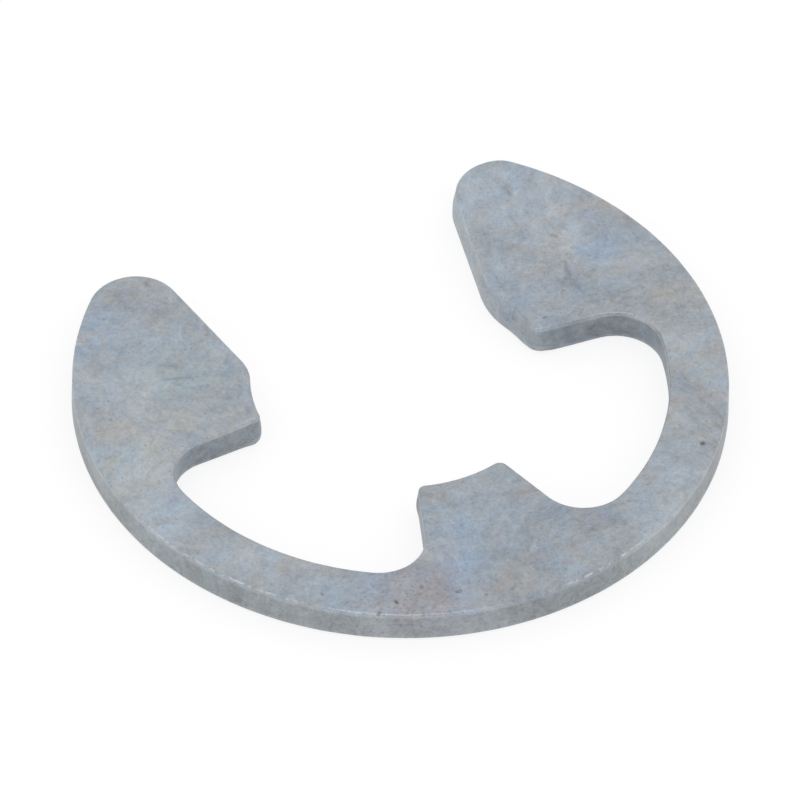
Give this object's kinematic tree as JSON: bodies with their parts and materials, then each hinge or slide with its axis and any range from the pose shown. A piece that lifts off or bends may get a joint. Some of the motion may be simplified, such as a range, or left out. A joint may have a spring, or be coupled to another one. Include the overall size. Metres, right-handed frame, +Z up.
{
  "type": "open retaining ring",
  "caption": "Open spring-steel retaining ring that snaps sideways onto a grooved shaft and holds what sits behind it.",
  "frame": {"origin": "middle of the shaft groove that the ring grips, on the ring's lower face", "axes": "+Z up through the strip's thickness along the shaft's axis, +Y out through the mouth, +X across the mouth"},
  "size_m": [0.0168, 0.0146, 0.0009],
  "materials": {
    "plated_spring_steel": "zinc-plated and tumbled spring steel, satin, with faint blue and straw tints"
  },
  "bodies": {
    "root": {"ring": "plated_spring_steel"}
  },
  "joints": []
}
